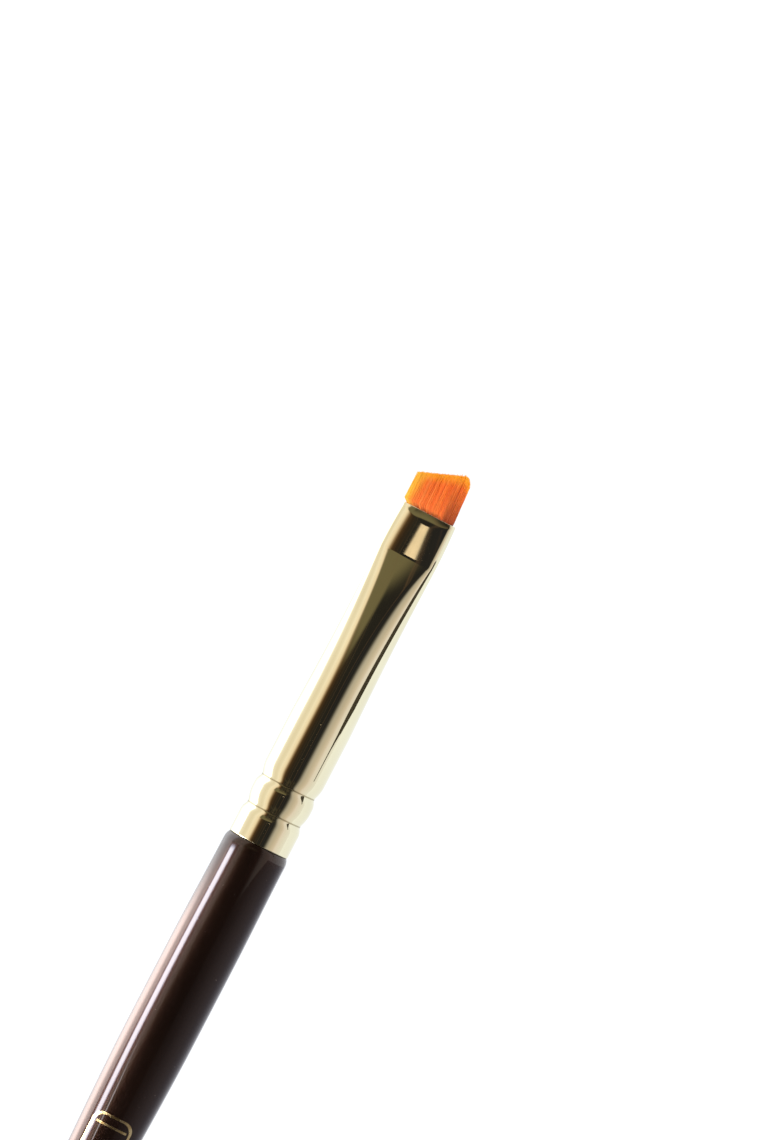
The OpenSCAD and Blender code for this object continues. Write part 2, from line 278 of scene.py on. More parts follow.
def makeFerrule(finish):
    edge, mouth, lip = metal["edge"], metal["mouth"], metal["wall"] / 2
    # rings lie closest together at the crimps, the start of the pressed part, the crease and the rim
    stations = [edge + lip]
    for first, last, step in (metal["coarseRings"], metal["fineRings"]):
        stations += list(np.arange(edge + first, edge + last, step))
    stations += list(np.linspace(edge + 7.2, barrelEnd - 0.3, 8)) + [barrelEnd - 0.012, barrelEnd + 0.012]
    stations += [barrelEnd + (crease - 0.3 - barrelEnd) * (i / 60) ** 1.5 for i in range(1, 61)]
    stations += list(np.linspace(crease - 0.26, crease + 0.26, 21))
    stations += list(np.linspace(crease + 0.5, mouth - 1.05, 7))
    stations += list(np.linspace(mouth - 0.98, mouth - lip, 18))
    rings = [ringAt(x, 0, metal["around"], dome=True) for x in stations]
    for i in range(1, 9):  # rounded lip at the mouth
        a = math.pi * i / 9
        ring = ringAt(mouth - lip, lip * (1 - math.cos(a)), metal["around"], dome=True)
        ring[:, 0] = mouth - lip + lip * math.sin(a)
        rings.append(ring)
    back = list(np.linspace(mouth - lip, crease, 6)) + list(np.linspace(crease, barrelEnd, 26)[1:])
    back += list(np.arange(barrelEnd - 1, edge + 7, -1.2)) + list(np.arange(edge + 6.9, edge + 1.9, -0.15))
    back += [edge + lip]
    for x in back:
        rings.append(ringAt(x, metal["wall"], metal["around"]))
    for i in range(1, 7):  # rolled lip at the handle end
        a = math.pi * i / 7
        ring = ringAt(edge + lip, metal["wall"] - lip * (1 - math.cos(a)), metal["around"])
        ring[:, 0] = edge + lip - lip * math.sin(a)
        rings.append(ring)
    verts = np.vstack(rings) * mm
    return newPiece("ferruleTube", verts, tubeFaces(len(rings), metal["around"], closed=True), finish)


# pale gold, rolled and buffed, with faint drawing lines along it and painted shade darkening the bottom of
# each crimp and the handle end
ferruleGold, tree, shader = newMaterial("ferruleGold", Metallic=1.0, Roughness=0.06)
drawn = noise(tree, stretched(tree, (60, 1600, 1600)), 1.0, 3, 0.6)
cloud = noise(tree, stretched(tree, (260, 260, 260)), 1.0, 2, 0.5)
tint = ramp(tree, cloud, [(0.3, (0.78, 0.735, 0.53)), (0.7, (0.82, 0.78, 0.57))])
lengthwise = axes(tree, onPiece(tree))[0]
# painted shade: a dark line along the bottom of each crimp and at the handle end, where the metal is also
# rougher
crimpShade = 0.0
for place in (0.0, *metal["crimps"]):
    away = calc(tree, "ABSOLUTE", calc(tree, "SUBTRACT", lengthwise, (metal["edge"] + place) * mm))
    grooveShade = remap(tree, away, metal["grooveShadeFull"] * mm, metal["grooveShadeWidth"] * mm,
                  metal["grooveShade"], 0.0, smooth=True)
    crimpShade = calc(tree, "MAXIMUM", crimpShade, grooveShade)
tint = blendColour(tree, crimpShade, tint, (0.22, 0.17, 0.07))
tree.links.new(tint, shader.inputs["Base Color"])
pressed = remap(tree, lengthwise, (crease - 1.5) * mm, (crease + 0.6) * mm, 0.0, 0.025, smooth=True)
worn = calc(tree, "MULTIPLY_ADD", drawn, 0.04, 0.005)
worn = calc(tree, "ADD", calc(tree, "MULTIPLY_ADD", cloud, 0.04, worn), pressed)
tree.links.new(calc(tree, "MULTIPLY_ADD", crimpShade, 0.4, worn), shader.inputs["Roughness"])
ripple = calc(tree, "MULTIPLY_ADD", drawn, 0.05, noise(tree, stretched(tree, (110, 420, 420)), 1.0, 1, 0.4))
bump(tree, shader, ripple, 0.000005)

ferruleTube = makeFerrule(ferruleGold)
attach(ferruleTube, handleBody)
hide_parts("ferrule")
print("ferrule:", len(ferruleTube.data.polygons), "faces")


# handle: lacquer over the turned core

coatLow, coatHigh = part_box("lacquer_coat")
handle = {
    "edge": coatHigh[0] / mm, "tail": coatLow[0] / mm,
    "grip": 3.0, "gripLength": 8.0, "waist": 2.2, "waistRun": 29.0, "tailRadius": 1.5,
    "gripSlope": 0.008, "waistSlope": 0.011, "tailSlope": 0.005,
    "neckDrop": 0.09, "nose": 2.7, "noseLength": 0.7, "noseChamfer": 0.04, "coat": 0.15,
    "around": 112, "poleAngle": 0.06, "denseFrom": -5.0,
}


def hermite(t, first, last, slopeFirst, slopeLast):
    return ((1 - ease(t)) * first + ease(t) * last
            + t * (1 - t) ** 2 * slopeFirst - t * t * (1 - t) * slopeLast)


def handleRadius(x):
    h = handle
    neck, noseStart = h["grip"] - h["neckDrop"], h["edge"] - h["noseLength"]
    half = h["gripLength"] / 2
    waistX, tailX = -half - h["waistRun"], h["tail"] + h["tailRadius"]
    if x > noseStart:
        return neck - (neck - h["nose"]) * ((x - noseStart) / h["noseLength"]) ** 2
    if x > half:
        return h["grip"] - h["neckDrop"] * ease((x - half) / (noseStart - half))
    if x >= -half:
        return h["grip"]
    if x > waistX:
        return hermite((-half - x) / h["waistRun"], h["grip"], h["waist"],
                       -h["gripSlope"] * h["waistRun"], -h["waistSlope"] * h["waistRun"])
    run = waistX - tailX
    return hermite((waistX - x) / run, h["waist"], h["tailRadius"],
                   -h["waistSlope"] * run, -h["tailSlope"] * run)


def makeHandle(finish):
    # the profile runs from the tail forwards over the outside, then back under the coat
    h = handle
    tailX, noseStart = h["tail"] + h["tailRadius"], h["edge"] - h["noseLength"]
    outline = [(h["tailRadius"] * math.sin(a), tailX - h["tailRadius"] * math.cos(a))
               for a in np.linspace(h["poleAngle"], math.pi / 2, 14)]
    stations = list(np.linspace(tailX, h["denseFrom"], 120)[1:])
    stations += list(np.linspace(h["denseFrom"] + 0.2, noseStart, 30))
    stations += list(np.linspace(noseStart, h["edge"] - 0.05, 16)[1:])
    outline += [(handleRadius(x), x) for x in stations]
    outline += [(h["nose"] - 0.012, h["edge"] - 0.02), (h["nose"] - h["noseChamfer"], h["edge"])]
    inner = [(handleRadius(x) - h["coat"], x) for x in np.linspace(h["edge"], tailX, 90)]
    hollow = h["tailRadius"] - h["coat"]
    inner += [(hollow * math.sin(a), tailX - hollow * math.cos(a))
              for a in np.linspace(math.pi / 2, h["poleAngle"], 10)[1:]]
    profile = outline + inner
    angle = np.arange(h["around"]) * 2 * math.pi / h["around"]
    verts = [(x * mm, r * math.cos(a) * mm, r * math.sin(a) * mm) for r, x in profile for a in angle]
    faces = tubeFaces(len(profile), h["around"])
    poles = ((0, h["tail"]), (len(profile) - 1, h["tail"] + h["coat"]))
    for ring, x in poles:  # close both skins at the tail
        verts.append((x * mm, 0, 0))
        centre = len(verts) - 1
        for i in range(h["around"]):
            a, b = ring * h["around"] + i, ring * h["around"] + (i + 1) % h["around"]
            faces.append((centre, a, b) if ring == 0 else (centre, b, a))
    return newPiece("handleLacquer", verts, faces, finish)


# near-black brown undercoat with a warm sheen, under a clear glossy coat that caught a little dust
chocolate, tree, shader = newMaterial(
    "chocolateLacquer", Roughness=0.4, Coat_Weight=0.9, Coat_Roughness=0.02, Coat_IOR=1.5,
    Specular_IOR_Level=0.35, Specular_Tint=(1.0, 0.42, 0.26, 1))
depth = noise(tree, stretched(tree, (45, 260, 260)), 1.0, 4, 0.6)
fleck = noise(tree, stretched(tree, (2600, 2600, 2600)), 1.0, 1, 0.5)
brown = ramp(tree, depth, [(0.3, (0.0014, 0.0009, 0.0008)), (0.7, (0.0034, 0.0019, 0.0015))])
brown = blendColour(tree, remap(tree, fleck, 0.78, 0.86, 0.0, 0.5), brown, (0.16, 0.13, 0.12))
tree.links.new(brown, shader.inputs["Base Color"])
tree.links.new(remap(tree, depth, 0.3, 0.7, 0.34, 0.46), shader.inputs["Roughness"])
flow = noise(tree, stretched(tree, (90, 340, 340)), 1.0, 1, 0.4)
dust = remap(tree, fleck, 0.76, 0.84, 0.0, 1.0, smooth=True)
bump(tree, shader, calc(tree, "MULTIPLY_ADD", dust, 0.4, flow), 0.00001, socket="Coat Normal")

handleLacquer = makeHandle(chocolate)
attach(handleLacquer, handleBody)
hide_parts("lacquer_coat")
print("handle:", len(handleLacquer.data.polygons), "faces")


# foil frame stamped on the lacquer: rounded frame, end bars, lozenges

foil = {
    "fromFerrule": 25.8, "length": 34.0, "width": 3.6, "line": 0.2, "barPitch": 0.95,
    "lozenges": 3, "lozengeLength": 1.7, "lozengeWidth": 0.8, "lozengePitch": 1.5,  # pitch in lozenge lengths
    "rise": 0.022, "sunk": 0.01, "step": 0.35,
}


def foilSlab(points, wrap, verts, faces):
    # points is a grid [rows][columns] of (x, y) seen from above; the slab hugs the handle
    rows, columns = len(points), len(points[0])
    start = len(verts)
    for rise in (foil["rise"], -foil["sunk"]):
        for row in points:
            for x, y in row:
                r = handleRadius(x)
                scale = (r + rise) / r
                verts.append((x * mm, y * scale * mm, math.sqrt(r * r - y * y) * scale * mm))
    under = rows * columns

    def at(i, j):
        return start + (i % rows) * columns + j
    last = rows if wrap else rows - 1
    for i in range(last):
        for j in range(columns - 1):
            a, b, c, d = at(i, j), at(i + 1, j), at(i + 1, j + 1), at(i, j + 1)
            faces.append((a, b, c, d))
            faces.append((a + under, d + under, c + under, b + under))
        for j, turn in ((0, 1), (columns - 1, -1)):
            a, b = at(i, j), at(i + 1, j)
            faces.append((a, a + under, b + under, b)[::turn])
    if not wrap:
        for i, turn in ((0, -1), (rows - 1, 1)):
            for j in range(columns - 1):
                a, b = at(i, j), at(i, j + 1)
                faces.append((a, a + under, b + under, b)[::turn])


def roundedLoop(length, width, r):
    loop = []
    for cx, cy, turn in ((1, 1, 0), (-1, 1, 90), (-1, -1, 180), (1, -1, 270)):
        for i in range(9):
            a = math.radians(turn + 90 * i / 8)
            loop.append((cx * (length / 2 - r) + r * math.cos(a), cy * (width / 2 - r) + r * math.sin(a)))
    dense = []
    for (x0, y0), (x1, y1) in zip(loop, loop[1:] + loop[:1]):
        steps = max(1, int(math.hypot(x1 - x0, y1 - y0) / foil["step"]))
        dense += [(x0 + (x1 - x0) * k / steps, y0 + (y1 - y0) * k / steps) for k in range(steps)]
    return dense


def makeFoil(finish):
    f = foil
    middle = metal["edge"] - f["fromFerrule"] - f["length"] / 2
    verts, faces = [], []
    outer = roundedLoop(f["length"], f["width"], f["width"] / 4)
    inwardX, inwardY = f["line"] / f["length"], f["line"] / f["width"]
    frameGrid = [[(middle + x * (1 - inwardX * k), y * (1 - inwardY * k)) for k in (0, 1, 2)]
                 for x, y in outer]
    foilSlab(frameGrid, True, verts, faces)
    half = f["width"] / 2 - 2 * f["line"]
    for end in (-1, 1):
        x = middle + end * (f["length"] / 2 - f["barPitch"])
        foilSlab([[(x - f["line"] / 2 + f["line"] * i / 2, half - 2 * half * j / 12) for j in range(13)]
                  for i in range(3)][::-1], False, verts, faces)
    for n in range(f["lozenges"]):
        x = middle + (n - (f["lozenges"] - 1) / 2) * f["lozengePitch"] * f["lozengeLength"]
        a, b = f["lozengeLength"] / 2, f["lozengeWidth"] / 2
        steps = np.linspace(0, 1, 7)
        foilSlab([[(x + a * (u - v), b * (1 - u - v)) for v in steps] for u in steps], False, verts, faces)
    return newPiece("foilFrame", verts, faces, finish, smooth=False)


# gold foil, a little rubbed where fingers hold it
foilGold, tree, shader = newMaterial("stampedFoil", Metallic=1.0, Coat_Weight=0.5, Coat_Roughness=0.05)
grain = noise(tree, stretched(tree, (1500, 1500, 1500)), 1.0, 3, 0.6)
rubbed = remap(tree, noise(tree, stretched(tree, (420, 900, 900)), 1.0, 3, 0.65), 0.62, 0.7, 0.0, 0.75)
leaf = ramp(tree, grain, [(0.35, (0.72, 0.5, 0.2)), (0.65, (0.93, 0.75, 0.4))])
tree.links.new(blendColour(tree, rubbed, leaf, (0.12, 0.06, 0.03)), shader.inputs["Base Color"])
tree.links.new(calc(tree, "MULTIPLY_ADD", grain, 0.2, 0.16), shader.inputs["Roughness"])
bump(tree, shader, grain, 0.00001)
foilPiece = makeFoil(foilGold)
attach(foilPiece, handleBody)
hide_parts("foil_frame")
print("foil:", len(foilPiece.data.polygons), "faces")


# hair: separate tapered filaments, tied behind, fanned by the flat mouth, cut on a slant

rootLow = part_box("hair_root")[0]
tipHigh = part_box("hair_tip")[1]
hair = {
    "hairs": 1050, "points": 11, "sides": 5, "insideShare": 0.2, "seed": 7,
    "root": rootLow[0] / mm, "mouth": metal["mouth"], "reach": tipHigh[0] / mm - metal["mouth"],
    "rootRadius": 1.25, "thick": 0.036, "thin": 0.014,
    "mouthHalfWidth": 2.17, "flareHalfWidth": 2.38, "tipHalfWidth": 2.27, "flareAt": 0.25,
    "mouthHalfThickness": 0.42, "flareHalfThickness": 0.52, "tipHalfThickness": 0.16, "flareThickAt": 0.5,
    "slant": 22.0, "corner": 0.62, "cornerTall": 1.25, "ragged": 0.14,
    "strays": 0.16, "strayFrom": 0.86, "splay": 0.02, "lift": 0.012, "lean": 0.2, "tipLean": 0.12,
    "locks": 0.03, "lockGrain": 1.6, "locksAcross": 5.0, "locksAlong": 0.35, "lockSpread": 2.0,
    "spread": 0.618034, "fill": 0.99, "jitter": 0.01, "thinnest": 0.97,
    "flexRun": 2.2,
}


def growTree(name):
    tree = bpy.data.node_groups.new(name, "GeometryNodeTree")
    tree.interface.new_socket("Geometry", in_out="INPUT", socket_type="NodeSocketGeometry")
    tree.interface.new_socket("Geometry", in_out="OUTPUT", socket_type="NodeSocketGeometry")
    return tree


def openTree(name, piece, counts, sizes):
    # a tree with a named input for each size; also gives their sockets, and their values by identifier
    tree = growTree(name)
    start = tree.nodes.new("NodeGroupInput")
    values = {}
    for kind, names in (("NodeSocketInt", counts), ("NodeSocketFloat", sizes)):
        for label, key in names.items():
            socket = tree.interface.new_socket(label, in_out="INPUT", socket_type=kind)
            socket.default_value = piece[key]
            values[socket.identifier] = piece[key]
    return tree, {label: start.outputs[label] for label in (*counts, *sizes)}, values


def closeTree(tree, skin, finish):
    real = put(tree, "GeometryNodeRealizeInstances", {"Geometry": skin.outputs[0]})
    dressed = put(tree, "GeometryNodeSetMaterial", {"Geometry": real.outputs[0], "Material": finish})
    tree.links.new(dressed.outputs[0], tree.nodes.new("NodeGroupOutput").inputs[0])


def store(tree, geometry, name, value, kind="FLOAT", domain="POINT"):
    return put(tree, "GeometryNodeStoreNamedAttribute", {"Geometry": geometry, "Name": name, "Value": value},
               data_type=kind, domain=domain).outputs[0]


def stored(tree, name, kind="FLOAT"):
    return put(tree, "GeometryNodeInputNamedAttribute", {"Name": name}, data_type=kind).outputs["Attribute"]


def plainMesh(holder, tree, values, name, finish):
    # sets the inputs, evaluates once, keeps the result as a plain mesh
    modifier = holder.modifiers.new("grow", "NODES")
    modifier.node_group = tree
    for key, value in values.items():
        modifier[key] = value
    holder.update_tag()
    graph = bpy.context.evaluated_depsgraph_get()
    graph.update()
    grown = holder.evaluated_get(graph)
    mesh = bpy.data.meshes.new_from_object(grown, preserve_all_data_layers=True, depsgraph=graph)
    holder.modifiers.remove(modifier)
    mesh.name = name
    piece = bpy.data.objects.new(name, mesh)
    bpy.context.collection.objects.link(piece)
    bpy.data.objects.remove(holder)
    if not mesh.materials:
        mesh.materials.append(finish)
    mesh.shade_smooth()
    return piece


def seedObject(name):
    mesh = bpy.data.meshes.new(name)
    mesh.from_pydata([(0, 0, 0)], [], [])
    holder = bpy.data.objects.new(name, mesh)
    bpy.context.collection.objects.link(holder)
    return holder


def hairTree(finish):
    tree, give, values = openTree(
        "tuftFilaments", hair, {"Hairs": "hairs", "Points": "points", "Sides": "sides", "Seed": "seed"},
        {"Root": "root", "Mouth": "mouth", "Reach": "reach", "Root Radius": "rootRadius", "Thick": "thick",
         "Thin": "thin", "Slant": "slant", "Corner": "corner", "Corner Tall": "cornerTall",
         "Ragged": "ragged", "Locks": "locks", "Lean": "lean"})

    line = put(tree, "GeometryNodeCurvePrimitiveLine", {"End": (1, 0, 0)})
    split = put(tree, "GeometryNodeResampleCurve", {"Curve": line.outputs[0], "Count": give["Points"]})
    copies = put(tree, "GeometryNodeDuplicateElements",
                 {"Geometry": split.outputs[0], "Amount": give["Hairs"]}, domain="SPLINE")
    marked = store(tree, copies.outputs[0], "hairId", copies.outputs["Duplicate Index"], "INT", "CURVE")
    hairId = stored(tree, "hairId", "INT")
    factor = tree.nodes.new("GeometryNodeSplineParameter").outputs["Factor"]

    def chance(low, high, shift):
        return put(tree, "FunctionNodeRandomValue", {
            2: low, 3: high, "ID": hairId, "Seed": calc(tree, "ADD", give["Seed"], shift)}).outputs[1]

    # an even lattice over the section, loosened a little
    across = calc(tree, "FRACT", calc(tree, "MULTIPLY", hairId, hair["spread"]))
    across = calc(tree, "MULTIPLY_ADD", across, 2 * hair["fill"], -hair["fill"])
    across = calc(tree, "ADD", across, chance(-hair["jitter"], hair["jitter"], 1))
    height = calc(tree, "DIVIDE", calc(tree, "ADD", hairId, 0.5), give["Hairs"])
    height = calc(tree, "MULTIPLY_ADD", height, 2.0, -1.0)
    # the section is a rounded oblong: thickest in the middle, thin at its two sides
    thinner = calc(tree, "POWER", calc(tree, "ABSOLUTE", across), 4.0)
    thinner = calc(tree, "MINIMUM", hair["thinnest"], thinner)
    oblong = calc(tree, "SQRT", calc(tree, "SUBTRACT", 1.0, thinner))

    # how far this hair reaches: slanted cut, long side at -Y, its corner rounded
    side = calc(tree, "MULTIPLY", across, hair["tipHalfWidth"])
    slope = calc(tree, "TANGENT", calc(tree, "RADIANS", give["Slant"]))
    bend = calc(tree, "DIVIDE", calc(tree, "MULTIPLY", slope, give["Corner"]), give["Corner Tall"])
    level = calc(tree, "INVERSE_SQRT", calc(tree, "MULTIPLY_ADD", bend, bend, 1.0))
    cornerY = calc(tree, "SUBTRACT", give["Corner"], hair["tipHalfWidth"])
    cornerX = calc(tree, "SUBTRACT", give["Reach"], give["Corner Tall"])
    meetY = calc(tree, "MULTIPLY_ADD", give["Corner"], calc(tree, "MULTIPLY", bend, level), cornerY)
    meetX = calc(tree, "MULTIPLY_ADD", give["Corner Tall"], level, cornerX)
    cut = calc(tree, "SUBTRACT", meetX, calc(tree, "MULTIPLY", calc(tree, "SUBTRACT", side, meetY), slope))
    offset = calc(tree, "DIVIDE", calc(tree, "SUBTRACT", side, cornerY), give["Corner"])
    arcSquare = calc(tree, "SUBTRACT", 1.0, calc(tree, "MULTIPLY", offset, offset))
    arcRise = calc(tree, "SQRT", calc(tree, "MAXIMUM", 0.0, arcSquare))
    arc = calc(tree, "MULTIPLY_ADD", give["Corner Tall"], arcRise, cornerX)
    isCorner = calc(tree, "LESS_THAN", side, meetY)
    reach = calc(tree, "ADD", calc(tree, "MULTIPLY", isCorner, arc),
                 calc(tree, "MULTIPLY", calc(tree, "SUBTRACT", 1.0, isCorner), cut))
    short = calc(tree, "POWER", chance(0.0, 1.0, 2), 2.0)
    reach = calc(tree, "SUBTRACT", reach, calc(tree, "MULTIPLY", short, give["Ragged"]))
    longer = remap(tree, chance(0.0, 1.0, 6), hair["strayFrom"], 1.0, 0.0, hair["strays"])
    reach = calc(tree, "ADD", reach, longer)

    inside = remap(tree, factor, 0.0, hair["insideShare"], 0.0, 1.0)
    outside = remap(tree, factor, hair["insideShare"], 1.0, 0.0, 1.0)
    out = calc(tree, "MULTIPLY", outside, reach)
    bound = calc(tree, "SUBTRACT", give["Mouth"], give["Root"])
    x = calc(tree, "ADD", calc(tree, "MULTIPLY_ADD", inside, bound, give["Root"]), out)

    def follow(size, flareAt):
        # round at the roots, wider just past the mouth, slimmer at the tip
        mouth, flare, tip = (hair[place + size] for place in ("mouthHalf", "flareHalf", "tipHalf"))
        opened = calc(tree, "SUBTRACT", mouth, give["Root Radius"])
        inner = calc(tree, "MULTIPLY_ADD", inside, opened, give["Root Radius"])
        wider = remap(tree, out, 0.0, flareAt, 0.0, flare - mouth, smooth=True)
        narrow = remap(tree, out, flareAt, hair["reach"], 0.0, tip - flare)
        return calc(tree, "ADD", inner, calc(tree, "ADD", wider, narrow))
    halfWidth = follow("Width", hair["flareAt"])
    halfThick = follow("Thickness", hair["flareThickAt"])

    # hairs lean together in small locks towards the tips
    lockPlace = joined(tree, x=calc(tree, "MULTIPLY", across, hair["locksAcross"]), y=height,
                       z=calc(tree, "MULTIPLY", out, hair["locksAlong"]))
    sway = calc(tree, "SUBTRACT", noise(tree, lockPlace, hair["lockGrain"]), 0.5)
    sway = calc(tree, "MULTIPLY", calc(tree, "MULTIPLY", sway, give["Locks"]),
                calc(tree, "MULTIPLY", out, hair["lockSpread"]))
    stray = calc(tree, "MULTIPLY", chance(-hair["splay"], hair["splay"], 3), out)
    lean = remap(tree, out, 0.0, hair["flareAt"], 0.0, give["Lean"], smooth=True)
    tipLean = remap(tree, out, hair["flareAt"], hair["reach"], 0.0, hair["tipLean"])
    stray = calc(tree, "ADD", calc(tree, "ADD", stray, lean), tipLean)
    lift = calc(tree, "MULTIPLY", chance(-hair["lift"], hair["lift"], 4), out)
    y = calc(tree, "ADD", calc(tree, "MULTIPLY", across, halfWidth), calc(tree, "ADD", sway, stray))
    z = calc(tree, "ADD", calc(tree, "MULTIPLY", calc(tree, "MULTIPLY", height, oblong), halfThick), lift)
    metres = scaled(tree, joined(tree, x=x, y=y, z=z), mm)

    # stored before the hair moves, while the factor still counts points and not length
    kept = store(tree, marked, "along", outside)
    kept = store(tree, kept, "reachOut", calc(tree, "DIVIDE", out, hair["reach"]))
    kept = store(tree, kept, "across", across)
    kept = store(tree, kept, "shade", chance(0.0, 1.0, 5))
    kept = put(tree, "GeometryNodeSetPosition", {"Geometry": kept, "Position": metres}).outputs[0]
    girth = remap(tree, stored(tree, "along"), 0.0, 1.0, give["Thick"], give["Thin"])
    circle = put(tree, "GeometryNodeCurvePrimitiveCircle", {"Resolution": give["Sides"], "Radius": 1.0})
    skin = put(tree, "GeometryNodeCurveToMesh", {
        "Curve": kept, "Profile Curve": circle.outputs[0], "Scale": calc(tree, "MULTIPLY", girth, mm),
        "Fill Caps": True})
    closeTree(tree, skin, finish)
    return tree, values


def attribute(tree, name):
    return put(tree, "ShaderNodeAttribute", attribute_name=name).outputs["Fac"]


# orange synthetic hair, golden at the cut; painted shade darkens it at the ferrule and on the -Y side,
# painted light turns the +Y side golden
filament, tree, shader = newMaterial("orangeFilament", Roughness=0.4)
out, across, shade = attribute(tree, "reachOut"), attribute(tree, "across"), attribute(tree, "shade")
along = attribute(tree, "along")
# painted shade: dark inside the ferrule and just past its mouth, full orange from a little further out
body = ramp(tree, out, [(0.0, (0.16, 0.035, 0.01)), (0.015, (0.22, 0.05, 0.012)), (0.08, (0.88, 0.2, 0.03)),
                        (0.4, (0.93, 0.185, 0.02)), (1.0, (0.95, 0.18, 0.014))])


def streaks(scale, low, high, amount, shift):
    # long soft stripes of other hair: fine across the tuft, slow along it
    place = joined(tree, x=calc(tree, "MULTIPLY_ADD", across, scale, shift), y=shift,
                   z=calc(tree, "MULTIPLY", out, 0.35))
    return remap(tree, noise(tree, place, 1.0, 2, 0.6), low, high, 0.0, amount)


body = blendColour(tree, streaks(9.0, 0.46, 0.58, 0.8, 2.0), body, (0.74, 0.1, 0.012))
body = blendColour(tree, streaks(13.0, 0.48, 0.6, 0.8, 9.0), body, (1.0, 0.3, 0.06))
body = blendColour(tree, calc(tree, "MULTIPLY", shade, 0.15), body, (1.0, 0.22, 0.03))
# painted shade: the -Y side of the tuft darker near the ferrule, fading towards the cut
shadedSide = calc(tree, "MULTIPLY", remap(tree, across, -0.45, -0.62, 0.0, 0.9, smooth=True),
                remap(tree, out, 0.05, 0.75, 1.0, 0.1))
body = blendColour(tree, shadedSide, body, (0.3, 0.045, 0.007))
tips = remap(tree, along, 0.72, 1.0, 0.0, 0.95, smooth=True)
# painted light: the +Y side, towards the window, turns golden, more so towards the cut
litSide = remap(tree, calc(tree, "MULTIPLY_ADD", out, 0.35, across), 0.62, 1.05, 0.0, 1.0, smooth=True)
body = blendColour(tree, tips, body, (1.0, 0.42, 0.012))
body = blendColour(tree, litSide, body, (0.98, 0.5, 0.04))
tree.links.new(body, shader.inputs["Base Color"])
bump(tree, shader, noise(tree, stretched(tree, (900, 9000, 9000)), 1.0, 1, 0.5), 0.000004)

hairGrowth, hairValues = hairTree(filament)
tuftHair = plainMesh(seedObject("hairSeed"), hairGrowth, hairValues, "tuftHair", filament)
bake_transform(tuftHair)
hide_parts("hair_root", "hair_tip")
print("tuft:", hair["hairs"], "hairs,", len(tuftHair.data.polygons), "faces")


# binding thread wound round the roots

threadLow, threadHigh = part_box("binding_thread")
threadInset = 0.13
winding = {
    "turns": 6.0, "start": threadLow[0] / mm + threadInset,
    "length": (threadHigh[0] - threadLow[0]) / mm - 2 * threadInset,
    "radius": 1.47, "endRadius": 1.6, "squash": 0.9, "thread": 0.1, "sides": 10, "steps": 40,
}


def threadTree(finish):
    tree, give, values = openTree(
        "threadWinding", winding, {},
        {"Turns": "turns", "Start": "start", "Length": "length", "Radius": "radius",
         "End Radius": "endRadius", "Squash": "squash", "Thread": "thread"})
    coil = put(tree, "GeometryNodeCurveSpiral", {
        "Resolution": winding["steps"], "Rotations": give["Turns"], "Start Radius": give["Radius"],
        "End Radius": give["End Radius"], "Height": give["Length"]})
    # the spiral climbs +Z; lay it along the brush and flatten it a little
    here = axes(tree, tree.nodes.new("GeometryNodeInputPosition").outputs[0])
    place = joined(tree, x=calc(tree, "ADD", here[2], give["Start"]), y=here[0],
                   z=calc(tree, "MULTIPLY", here[1], give["Squash"]))
    moved = put(tree, "GeometryNodeSetPosition", {
        "Geometry": coil.outputs[0], "Position": scaled(tree, place, mm)})
    circle = put(tree, "GeometryNodeCurvePrimitiveCircle", {
        "Resolution": winding["sides"], "Radius": calc(tree, "MULTIPLY", give["Thread"], mm)})
    skin = put(tree, "GeometryNodeCurveToMesh", {
        "Curve": moved.outputs[0], "Profile Curve": circle.outputs[0], "Fill Caps": True})
    closeTree(tree, skin, finish)
    return tree, values


cotton, tree, shader = newMaterial("bindingCotton", Roughness=0.85)
fibres = stretched(tree, (3000, 1500, 1500))
twist = put(tree, "ShaderNodeTexWave", {
    "Vector": fibres, "Scale": 1.0, "Distortion": 1.5, "Detail": 2.0}).outputs["Fac"]
yarn = ramp(tree, twist, [(0.1, (0.62, 0.56, 0.44)), (0.8, (0.86, 0.81, 0.7))])
tree.links.new(yarn, shader.inputs["Base Color"])
bump(tree, shader, twist, 0.00002)
threadGrowth, threadValues = threadTree(cotton)
bindingWinding = plainMesh(seedObject("threadSeed"), threadGrowth, threadValues, "bindingWinding", cotton)
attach(bindingWinding, handleBody)
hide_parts("binding_thread")
print("thread:", len(bindingWinding.data.polygons), "faces")


# finishes for the hidden parts that stay as they are

def dress(node, finish):
    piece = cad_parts[node]
    if not piece.material_slots:
        piece.data.materials.append(finish)
    for place in piece.material_slots:
        place.material = finish


# pale hardwood, with growth rings drawn out along the handle and fine dark pores
coreWood, tree, shader = newMaterial("turnedWood", Roughness=0.6)
rings = noise(tree, stretched(tree, (25, 700, 700)), 1.0, 5, 0.65, 0.6)
pores = noise(tree, stretched(tree, (300, 5200, 5200)), 1.0, 2, 0.6)
wood = ramp(tree, rings, [(0.3, (0.5, 0.3, 0.14)), (0.5, (0.68, 0.46, 0.25)), (0.72, (0.78, 0.58, 0.35))])
wood = blendColour(tree, remap(tree, pores, 0.6, 0.75, 0.0, 0.5), wood, (0.25, 0.13, 0.06))
tree.links.new(wood, shader.inputs["Base Color"])
bump(tree, shader, pores, 0.00003)
dress("handle_core", coreWood)


def setLiquid(name, rough, grain, softness, dark, light, depth):
    # a liquid that has set, with a slow swirl in it
    made, tree, shader = newMaterial(name, Roughness=rough)
    swirl = noise(tree, stretched(tree, (grain, grain, grain)), 1.0, 3, softness)
    tree.links.new(ramp(tree, swirl, [(0.3, dark), (0.7, light)]), shader.inputs["Base Color"])
    bump(tree, shader, swirl, depth)
    return made


dress("tenon_glue", setLiquid("setGlue", 0.35, 900, 0.5, (0.6, 0.4, 0.16), (0.82, 0.64, 0.34), 0.00002))
dress("root_epoxy", setLiquid("amberEpoxy", 0.15, 700, 0.55, (0.42, 0.2, 0.05), (0.66, 0.38, 0.13), 0.000015))
print("hidden parts dressed")


# pale floor, soft light, camera: millimetres too, but metres for the floor's size and the lamp

